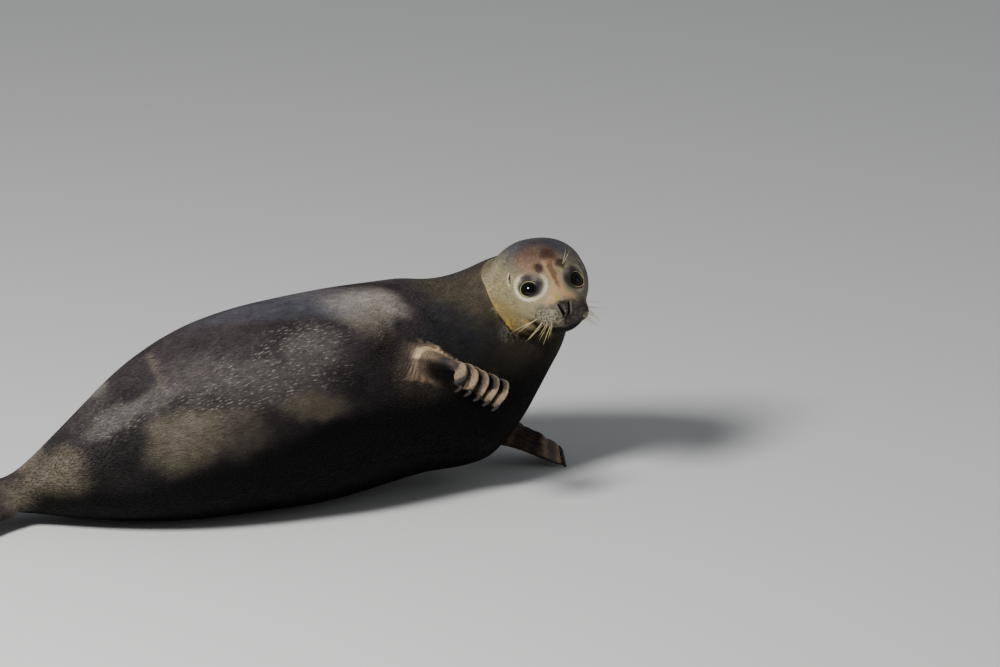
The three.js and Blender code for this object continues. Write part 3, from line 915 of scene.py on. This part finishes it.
def fur(name, roughness, streak, strength, gloss):
    """Short fur: the tone of its place, streaked along the lie, with a fine bump and a wet gloss."""
    made, place = material(name, Specular_IOR_Level=0.08, Coat_Roughness=0.34)
    along = place.node("ShaderNodeMapping", {0: place, "Scale": streak})
    fine = place.node("ShaderNodeTexNoise", {"Vector": along, "Scale": 1.0, "Detail": 3.0})
    broad = place.node("ShaderNodeTexNoise", {"Vector": place, "Scale": 60.0, "Detail": 2.0})
    tone_here = place.node("ShaderNodeAttribute", {}, attribute_name="tone")
    shade = fine * 0.7 + broad * 0.5 + 0.4
    scaled = place.node("ShaderNodeVectorMath", {0: tone_here, "Scale": shade}, operation="SCALE")
    scaled.into("Base Color")
    sheen = {"Value": tone_here, "From Max": 0.12, "To Max": gloss}
    tone_here.node("ShaderNodeMapRange", sheen).into("Coat Weight")
    (broad * 0.3 + (roughness - 0.15)).into("Roughness")
    bump = place.node("ShaderNodeBump", {"Height": fine, "Strength": strength, "Distance": 0.0006})
    bump.into("Normal")
    return made


pelt = fur("pelt", 0.42, (90, 420, 420), 0.5, 0.42)
hide = fur("hide", 0.6, (420, 420, 420), 0.6, 0.0)
coloured(skin.data, coat_tones(coordinates(skin.data), normals(skin.data)))
skin.data.materials.clear()
skin.data.materials.append(hide)

# ---- The coat ----
# Short, stiff hairs lie flat over the whole body in small tufts, tips towards the tail. Each tuft is a
# thin three-sided blade of mesh, longest on the back and smallest on the face and feet. Its patch of
# the unwrap, for baking its colours, lies at its root's place on an unwrap of the skin.
SPINE = [
    (-453, 111, 46), (-335, 85, 75), (-185, 35, 142), (13, 23, 184),
    (216, 35, 194), (399, 43, 212), (495, -1, 294), (535, -57, 372),
]  # the trunk's middle from tail to head, in millimetres
NOSE_TIP = np.array((132, 0, 2))  # in the head's frame, in millimetres
BAKE_PATCH = 0.003  # a tuft's share of the unwrap
TUFTS_EACH = 18000  # tufts in one piece of the coat
ROOT_STEP = 0.34  # between roots thrown on the skin, as a share of a tuft's length
TRIES = 2.2  # roots thrown for each one wanted
FLOOR_GAP = 1.5  # mm above the floor, under which no tuft stands
# A tuft's parts, as shares of its length: half its width, how deep its root stands in the skin, how far
# the root rises from it, its middle's lift and thickness, and its tip's least lift and what chance adds.
HALF_WIDTH, ROOT_DEPTH, ROOT_RISE = 0.11, 0.07, 0.05
WAIST_LIFT, WAIST_THICK, TIP_LIFT, TIP_CHANCE = 0.012, 0.026, 0.022, 0.02

alone(skin)
bpy.ops.object.mode_set(mode="EDIT")
bpy.ops.mesh.select_all(action="SELECT")
bpy.ops.uv.smart_project(angle_limit=radians(66), island_margin=0.001)
bpy.ops.object.mode_set(mode="OBJECT")
skin.data.uv_layers[0].name = "OFBake"

count = len(skin.data.polygons)
corners = np.empty(count * 3, np.int64)
skin.data.polygons.foreach_get("vertices", corners)
corners = corners.reshape(-1, 3)
flat = np.empty(count * 6)
skin.data.uv_layers["OFBake"].data.foreach_get("uv", flat)
skin_uv = flat.reshape(-1, 3, 2)
skin_points = coordinates(skin.data)
skin_facing = normals(skin.data)
skin_tree = BVHTree.FromObject(skin, bpy.context.evaluated_depsgraph_get())


def unit(vectors):
    return vectors / np.maximum(np.linalg.norm(vectors, axis=1), 1e-9)[:, None]


def lie(points, facing):
    """How the coat lies: back from the nose over the head, along the trunk, out along the flippers."""
    places = points / MM
    spine = np.array(SPINE, float)
    t = np.linspace(0, 1, 60)
    line = np.stack([through(spine[:, i], t) for i in range(3)], 1)
    course = unit(-np.gradient(line, axis=0))
    near = ((places[:, None] - line) ** 2).sum(-1).argmin(1)
    way = course[near]
    on_head = local(points, head_place)
    swept = unit(on_head - NOSE_TIP) @ turned.T
    share = step(fold_ahead(on_head), -20, 12) * step(np.linalg.norm(on_head, axis=1), 170, 130)
    way = way * (1 - share)[:, None] + swept * share[:, None]
    for spec in FLIPPERS.values():
        near = on_flipper(points, spec, 4)
        u, v, height = on_blade(points[near], spec)
        lean = middle_line(spec, u)[2]
        outward = np.stack([np.cos(lean), 0.12 * v * spec["lead"], -np.sin(lean)], 1)
        outward = outward @ np.array(place_of(spec))[:3, :3].T
        share = step(u, 0.08, 0.3)[:, None]
        way[near] = way[near] * (1 - share) + outward * share
    way = way + 0.16 * drifting(places, 14, 61)
    return unit(way - facing * (way * facing).sum(1)[:, None])


def hair_length(points):
    """Millimetres of a tuft: long on the trunk, shorter on the neck, least on the muzzle and flippers."""
    on_head = local(points, head_place)
    off = np.linalg.norm(on_head - np.array((90, 0, 0)), axis=1)
    length = 6 + 5.5 * step(off, 140, 320)
    head = np.interp(off, [20, 60, 130], [2.6, 4.2, 6.0])
    length = np.where(fold_ahead(on_head) > -4, np.where(off < 190, head, length), length)
    for spec in FLIPPERS.values():
        near = on_flipper(points, spec, 4)
        u = on_blade(points[near], spec)[0]
        length[near] = np.minimum(length[near], np.interp(u, [0, 0.3, 1], [8, 6.5, 4.8]))
    return length


def rooted(seed):
    """Roots spread evenly over the skin, closer where the hairs are shorter."""
    dice = np.random.default_rng(seed)
    a, b, c = (skin_points[corners[:, i]] for i in range(3))
    areas = np.linalg.norm(np.cross(b - a, c - a), axis=1) / 2
    length = hair_length((a + b + c) / 3)
    wanted = areas / (ROOT_STEP * length * MM) ** 2
    chosen = dice.choice(count, int(wanted.sum() * TRIES), p=wanted / wanted.sum())
    one, two = dice.random((2, len(chosen)))
    flip = one + two > 1
    one, two = np.where(flip, 1 - one, one), np.where(flip, 1 - two, two)
    share = np.stack([1 - one - two, one, two], 1)[:, :, None]
    spots = (skin_points[corners[chosen]] * share).sum(1)
    facing = unit((skin_facing[corners[chosen]] * share).sum(1))
    uv = (skin_uv[chosen] * share).sum(1)
    length = hair_length(spots)
    # one root is kept in each cell of a grid whose cells grow in steps with the length
    cell = np.interp(length, [3, 6, 11], [0.49, 0.46, 0.4])
    cell = cell * 2 ** (np.round(np.log2(length) * 2) / 2) * MM
    keys = np.concatenate([np.floor(spots / cell[:, None]), (cell * 1e6).round()[:, None]], 1)
    kept = np.unique(keys, axis=0, return_index=True)[1]
    return spots[kept], facing[kept], uv[kept], length[kept], dice


def bare(points):
    """Where no coat grows: within the eyes, on the nose and in the ear slits."""
    on_head = local(points, head_place)
    inside = np.hypot((on_head[:, 1] + NOSTRIL[0]) / 10, (on_head[:, 2] - 3) / 10) < 1
    inside &= on_head[:, 0] > 112
    for name in eye_axes:
        ring, ray, radius = round_eye(on_head, name)
        inside |= (ring < 1.12) & (radius < 40)
    for side in (-1, 1):
        inside |= in_ear(on_head, side) > 0.02
    return inside


roots, root_facing, root_uv, hair, dice = rooted(7)
grows = ~bare(roots) & (roots[:, 2] > FLOOR_GAP * MM)
roots, root_facing, root_uv, hair = roots[grows], root_facing[grows], root_uv[grows], hair[grows]
way = lie(roots, root_facing)
hair = hair * (0.8 + 0.4 * dice.random(len(hair)))


def laid(points):
    """The nearest places on the skin, and the way it faces there."""
    places, ways = np.empty_like(points), np.empty_like(points)
    for i, point in enumerate(points):
        places[i], ways[i] = skin_tree.find_nearest(point)[:2]
    return places, ways


middle, middle_facing = laid(roots + way * (hair * 0.5)[:, None] * MM)
tip, tip_facing = laid(roots + way * hair[:, None] * MM)
half = hair[:, None] * MM * HALF_WIDTH
lift = hair[:, None] * MM
aside = np.cross(root_facing, way)
spread = (dice.random((len(roots), 1)) - 0.5) * 0.3
base = roots - root_facing * lift * ROOT_DEPTH
waist = middle + middle_facing * lift * WAIST_LIFT
rise = TIP_LIFT + TIP_CHANCE * dice.random((len(roots), 1))
point = tip + tip_facing * lift * rise + aside * spread * lift * 0.5
tuft = np.stack(
    [
        base - aside * half * 0.7,
        base + aside * half * 0.7,
        base + root_facing * lift * ROOT_RISE,
        waist - aside * half,
        waist + aside * half,
        waist + middle_facing * lift * WAIST_THICK,
        point,
    ],
    1,
)
TUFT_FACES = [
    (0, 2, 1), (0, 1, 4), (0, 4, 3), (1, 2, 5), (1, 5, 4),
    (2, 0, 3), (2, 3, 5), (3, 4, 6), (4, 5, 6), (5, 3, 6),
]
TUFT_UV = np.array([(-1, -1), (1, -1), (0, -1), (-1, 0), (1, 0), (0, 0), (0, 1)]) * BAKE_PATCH / 2
tint = coat_tones(roots, root_facing)
shade = 0.8 + 0.4 * dice.random(len(roots))
# painted highlights: under half of the tufts in the glistening band are painted pale, few of them strongly
glint = glinting(roots) * (dice.random(len(roots)) > 0.55) * dice.random(len(roots)) ** 2
tint = painted(tint * shade[:, None], 0.5 * glint, PALE)


def coat_piece(name, chosen):
    """One piece of the coat from some of the tufts."""
    total = len(chosen)
    mesh = bpy.data.meshes.new(name)
    size = tuft.shape[1]
    faces = (np.array(TUFT_FACES)[None] + (np.arange(total) * size)[:, None, None]).reshape(-1)
    mesh.vertices.add(total * size)
    mesh.vertices.foreach_set("co", tuft[chosen].ravel())
    mesh.loops.add(len(faces))
    mesh.loops.foreach_set("vertex_index", faces)
    mesh.polygons.add(len(faces) // 3)
    mesh.polygons.foreach_set("loop_start", np.arange(0, len(faces), 3))
    mesh.polygons.foreach_set("loop_total", np.full(len(faces) // 3, 3))
    mesh.update(calc_edges=True)
    mesh.validate()
    coloured(mesh, np.repeat(tint[chosen], size, axis=0))
    uv = (root_uv[chosen][:, None] + TUFT_UV[None]).reshape(-1, 2)[faces]
    mesh.uv_layers.new(name="OFBake").data.foreach_set("uv", uv.ravel())
    mesh.materials.append(pelt)
    piece = linked(name, mesh)
    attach(piece, "root")
    return piece


order = np.argsort(roots[:, 0], kind="stable")
on_hands = np.zeros(len(roots), bool)
for spec in FLIPPERS.values():
    on_hands |= on_flipper(roots, spec, 4) & (on_blade(roots, spec)[0] > 0.12)
on_head = local(roots, head_place)
on_face = (fold_ahead(on_head) > -4) & (np.linalg.norm(on_head, axis=1) < 160) & ~on_hands
for region, mask, slot in (
    ("head", on_face, "coat_head"),
    ("flipper", on_hands, "coat_flipper"),
    ("trunk", ~on_face & ~on_hands, "coat_body"),
):
    chosen = order[mask[order]]
    pieces = -(-len(chosen) // TUFTS_EACH)
    for number, share in enumerate(np.array_split(chosen, pieces)):
        coat_piece(f"coat_{region}_{number + 1}", share)

# ---- The eyes ----
# Large, round, nearly black eyes, wet and set deep under the lids. The clear front bulges a little from
# the ball.
for name in eye_axes:
    centre, length, height, gaze = eye_axes[name]
    eye_turned = Matrix([[*row, 0] for row in np.stack([length, height, gaze], 1)] + [[0, 0, 0, 1]])
    place = Matrix.Translation(eye_centre[name]) @ head_turned @ eye_turned
    eye = ball(f"eyeball_{name}", place, (EYEBALL * MM * 0.995,) * 3)
    spots = coordinates(eye.data)
    out = spots - np.array(eye_centre[name])
    front = unit(out) @ (turned @ gaze)
    bulge = 1 + 0.035 * step(front, 0.72, 0.95)
    moved(eye.data, np.array(eye_centre[name]) + out * bulge[:, None])
    alone(eye)
    bpy.ops.object.shade_smooth()
    bulb, where = material(f"eye_{name}", roughness=0.05, Specular_IOR_Level=0.2, Coat_Weight=0.1)
    ahead_of = [float(v) for v in (turned @ gaze)]
    middle_of = [float(v) for v in eye_centre[name]]
    ray = where.node("ShaderNodeVectorMath", {0: where, 1: middle_of}, operation="SUBTRACT")
    ray = where.node("ShaderNodeVectorMath", {0: ray}, operation="NORMALIZE")
    ahead = where.node("ShaderNodeVectorMath", {0: ray, 1: ahead_of}, output=1, operation="DOT_PRODUCT")
    iris = ahead.node("ShaderNodeMapRange", {"Value": ahead, "From Min": 0.93, "From Max": 0.9})
    blended(iris, (0.001, 0.001, 0.0015), (0.004, 0.0025, 0.002))
    eye.data.materials.append(bulb)
    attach(eye, "root")
    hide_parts(f"eye_{name}")

# ---- The lids' rims ----
# A thin, rounded line of bare, pale skin runs along the edge of the lids, with painted shade at the
# nose's end. It stands a little proud of the skin round each opening.
LID_RIM = 0.55  # mm, its radius
LID_LINE = {"right": (14.6, 12.6), "left": (15.2, 13.2)}  # half length and half height of the line
LID_STEPS = 72  # points along each rim
TUBE_SIDES = 8


def tube(path, radii, sides=TUBE_SIDES, closed=False):
    """Points and faces of a round tube along a path, with flat ends unless it runs round on itself."""
    path = np.asarray(path, float)
    radii = np.broadcast_to(radii, len(path))
    if closed:
        course = unit(np.roll(path, -1, 0) - np.roll(path, 1, 0))
    else:
        course = unit(np.gradient(path, axis=0))
    side = np.cross(course, np.array((0.31, 0.12, 0.94)))
    side = unit(side)
    lift = np.cross(side, course)
    angle = np.arange(sides) * 2 * pi / sides
    ring = side[:, None] * np.cos(angle)[None, :, None] + lift[:, None] * np.sin(angle)[None, :, None]
    points = (path[:, None] + ring * radii[:, None, None]).reshape(-1, 3).tolist()
    faces = []
    rows = len(path) if closed else len(path) - 1
    for row in range(rows):
        here, there = row * sides, (row + 1) % len(path) * sides
        for i in range(sides):
            j = (i + 1) % sides
            faces.append((here + i, here + j, there + j, there + i))
    if not closed:
        last = (len(path) - 1) * sides
        faces.append(tuple(range(sides))[::-1])
        faces.append(tuple(last + i for i in range(sides)))
    return points, faces


def assembled(name, shapes, look):
    """One piece of many small shapes."""
    points, faces = [], []
    for some_points, some_faces in shapes:
        start = len(points)
        points += some_points
        faces += [tuple(start + i for i in face) for face in some_faces]
    mesh = bpy.data.meshes.new(name)
    mesh.from_pydata(points, [], faces)
    mesh.materials.append(look)
    piece = linked(name, mesh)
    alone(piece)
    bpy.ops.object.mode_set(mode="EDIT")
    bpy.ops.mesh.select_all(action="SELECT")
    bpy.ops.mesh.normals_make_consistent(inside=False)
    bpy.ops.object.mode_set(mode="OBJECT")
    bpy.ops.object.shade_smooth()
    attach(piece, "root")
    return piece


def out_of_head(places):
    """Places in the head's frame, in millimetres, taken to the shared frame."""
    matrix = np.array(head_place)
    return np.asarray(places) * MM @ matrix[:3, :3].T + matrix[:3, 3]


rim_shapes, rim_tones = [], []
for name in eye_axes:
    centre, length, height, gaze = eye_axes[name]
    turn_round = np.linspace(0, 2 * pi, LID_STEPS, endpoint=False)
    half_length, half_height = np.arcsin(np.array(LID_LINE[name]) / EYEBALL)
    angle = 1 / np.hypot(np.cos(turn_round) / half_length, np.sin(turn_round) / half_height)
    spoke = np.cos(turn_round)[:, None] * length + np.sin(turn_round)[:, None] * height
    ray = spoke * np.sin(angle)[:, None] + gaze * np.cos(angle)[:, None]
    rim_shapes.append(tube(out_of_head(centre + ray * (EYEBALL + 1.9)), LID_RIM * MM, closed=True))
    dark = step(np.cos(turn_round + (0.5 if name == "right" else -0.5)), 0.1, 0.7)
    rim_tones.append(painted(np.tile(tone(186, 174, 112), (LID_STEPS, 1)), 0.9 * dark, INK))
rim_look, where = material("lid_rim", roughness=0.5, Specular_IOR_Level=0.15)
grain = where.node("ShaderNodeTexNoise", {"Vector": where, "Scale": 900.0})
rim_tone = where.node("ShaderNodeAttribute", {}, attribute_name="tone")
scaled = where.node("ShaderNodeVectorMath", {0: rim_tone, "Scale": grain * 0.8 + 0.5}, operation="SCALE")
scaled.into("Base Color")
rims = assembled("lid_rims", rim_shapes, rim_look)
coloured(rims.data, np.repeat(np.concatenate(rim_tones), TUBE_SIDES, axis=0))

# ---- The whiskers ----
# Stiff, flattened, pale whiskers stand in rows on each pad, every one from its own dark spot, and two
# shorter ones over the left eye.
ROWS = [(5, 4), (0, 6), (-5, 7), (-10, 8), (-15, 8), (-20, 7), (-25, 5)]  # mm up a pad, how many
WHISKER = 1.3  # mm, thickness at the root
SPOT_RADIUS, SPOT_RISE = 1.15, 0.4  # mm, of the dark spot that each grows from


def on_skin(place, way):
    """Where a ray into the head meets the skin, and how it faces there."""
    origin = Vector(out_of_head([place])[0])
    hit, facing = skin_tree.ray_cast(origin, Vector(turned @ np.array(way)).normalized())[:2]
    return np.array(hit), np.array(facing)


dice = np.random.default_rng(23)
whiskers, spots = [], []
for side in (-1, 1):
    for row, (height, number) in enumerate(ROWS):
        for i in range(number):
            back_along = (i + 0.5 * (row % 2) + 0.4) / number
            y = side * (17 + 27 * back_along)
            ahead_of_pad = (190 - 40 * back_along, y * 1.5, height + 1)
            hit, facing = on_skin(ahead_of_pad, (-1, -0.32 * side * back_along, 0))
            spots.append((hit, facing))
            grown = row > 3 and (row + i) % 2 if side < 0 else row > 1 and dice.random() < 0.6
            if grown:
                size = (22 + 26 * back_along) * (0.8 + 0.4 * dice.random())
                drop = back_along - 1.7 + 0.5 * dice.random() if side < 0 else -0.15 - 0.8 * dice.random()
                sideways = (0.2 + 0.5 * back_along if side < 0 else 0.55) + 0.3 * dice.random()
                way_out = np.array((0.15 - 0.5 * back_along, side * sideways, drop))
                way_out = turned @ way_out / np.linalg.norm(way_out)
                t = np.linspace(0, 1, 9)[:, None]
                droop = turned @ np.array((-0.25, 0, -0.5))
                path = hit - facing * MM + (way_out * t + droop * t**2 * 0.35) * size * MM
                girth = WHISKER / 2 * (1.0 if side < 0 else 0.6) * MM
                whiskers.append(tube(path, girth * (1 - 0.8 * t[:, 0] ** 1.5), 6))
for i in range(2):
    hit, facing = on_skin((120, 25 + 4 * i, 50), (-1, 0, 0))
    way_out = turned @ np.array((0.1, 0.3 + 0.3 * i, 1.0))
    t = np.linspace(0, 1, 8)[:, None]
    droop = turned @ np.array((-0.2, 0, 0.0))
    path = hit - facing * MM + (way_out * t + droop * t**2) * (30 - 9 * i) * MM
    whiskers.append(tube(path, 0.36 * WHISKER * MM * (1 - 0.8 * t[:, 0] ** 1.5), 6))
straw, where = material("whisker", tone(206, 190, 128), 0.35)
grain = where.node("ShaderNodeTexNoise", {"Vector": where, "Scale": 120.0})
blended(grain, tone(150, 132, 76), tone(236, 224, 170))
assembled("whiskers", whiskers, straw)


def mound(hit, facing, radius, height):
    """A low round mound on the skin."""
    side = np.cross(facing, (0.2, 0.5, 0.84))
    side /= np.linalg.norm(side)
    lift = np.cross(facing, side)
    points = []
    for share, rise in ((1.0, -0.4), (0.75, 0.5), (0.35, 0.95)):
        for angle in np.arange(8) * pi / 4:
            offset = (side * cos(angle) + lift * sin(angle)) * radius * share
            points.append((hit + offset + facing * height * rise).tolist())
    faces = []
    for row in (0, 8):
        for i in range(8):
            j = (i + 1) % 8
            faces.append((row + i, row + j, row + 8 + j, row + 8 + i))
    faces += [tuple(range(16, 24)), tuple(range(8))[::-1]]
    return points, faces


spot_look, where = material("whisker_spot", tone(30, 25, 26), 0.45)
grain = where.node("ShaderNodeTexNoise", {"Vector": where, "Scale": 700.0})
blended(grain, tone(14, 11, 12), tone(52, 44, 44))
mounds = [mound(hit, facing, SPOT_RADIUS * MM, SPOT_RISE * MM) for hit, facing in spots]
assembled("whisker_spots", mounds, spot_look)

# ---- The claws ----
# Each digit ends in a stout, dark, curved claw of horn, smooth on its back and set under a fold of skin.
horn, where = material("claw", tone(44, 36, 34), 0.38, Specular_IOR_Level=0.25)
along_claw = where.node("ShaderNodeMapping", {0: where, "Scale": (500, 500, 500)})
grain = where.node("ShaderNodeTexNoise", {"Vector": along_claw, "Scale": 1.0, "Detail": 4.0})
blended(grain, tone(20, 17, 17), tone(62, 50, 44))
where.node("ShaderNodeBump", {"Height": grain, "Strength": 0.25, "Distance": 0.0004}).into("Normal")
for flipper in FLIPPERS:
    nodes = [f"claw_{flipper}_{number}" for number in range(1, DIGITS + 1)]
    claws = welded(nodes, f"claws_{flipper}", 0.5 * MM)
    applied(claws, "SUBSURF", levels=2)
    alone(claws)
    bpy.ops.object.shade_smooth()
    claws.data.materials.clear()
    claws.data.materials.append(horn)
    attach(claws, "root")
    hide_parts(*nodes)

# ---- Studio ----
# A plain pale floor, a large soft key from the camera's upper left, a weak fill and a long lens.
CAMERA_TURN, CAMERA_RISE = -24, 17  # degrees about the seal and over it
FRAME_WIDTH = 1.8  # metres across the picture at the seal
LENS = 400  # mm
AIM = (-73.4, -96.1, 60)  # mm from the head: right, up and towards the camera
FLOOR_SIDE = 200  # metres, past the horizon of any view
KEY = dict(place=(-3.0, -1.7, 3.6), size=1.2, power=340)
FILL = dict(place=(3.0, -2.4, 1.6), size=2.5, power=10)
LIT_POINT = Vector((0, 0, 0.15))  # what both lights face
turn, rise = radians(CAMERA_TURN), radians(CAMERA_RISE)
towards = Vector((sin(turn) * cos(rise), -cos(turn) * cos(rise), sin(rise)))
right = Vector((cos(turn), sin(turn), 0))
up = towards.cross(right)
camera = bpy.data.objects.new("camera", bpy.data.cameras.new("camera"))
bpy.context.scene.collection.objects.link(camera)
camera.data.lens = LENS
target = head_at + (right * AIM[0] + up * AIM[1] + towards * AIM[2]) * MM
camera.location = target + towards * (FRAME_WIDTH * LENS / camera.data.sensor_width)
camera.rotation_euler = towards.to_track_quat("Z", "Y").to_euler()
camera.data.clip_end = 400
bpy.context.scene.camera = camera

bpy.ops.mesh.primitive_plane_add(size=FLOOR_SIDE)
floor = bpy.context.active_object
floor.name = "floor"
paper = bpy.data.materials.new("paper")
paper.use_nodes = True
paper.node_tree.nodes["Principled BSDF"].inputs["Base Color"].default_value = (0.7, 0.7, 0.68, 1)
paper.node_tree.nodes["Principled BSDF"].inputs["Roughness"].default_value = 0.9
floor.data.materials.append(paper)


def softbox(name, place, size, power):
    """A square light of a size in metres and a power in watts."""
    light = bpy.data.objects.new(name, bpy.data.lights.new(name, "AREA"))
    light.data.size = size
    light.data.energy = power
    light.location = place
    light.rotation_euler = (LIT_POINT - Vector(place)).to_track_quat("-Z", "Y").to_euler()
    bpy.context.scene.collection.objects.link(light)


softbox("key", **KEY)
softbox("fill", **FILL)
world = bpy.data.worlds.new("room")
world.use_nodes = True
world.node_tree.nodes["Background"].inputs["Color"].default_value = (0.9, 0.93, 1.0, 1)
world.node_tree.nodes["Background"].inputs["Strength"].default_value = 0.2
bpy.context.scene.world = world
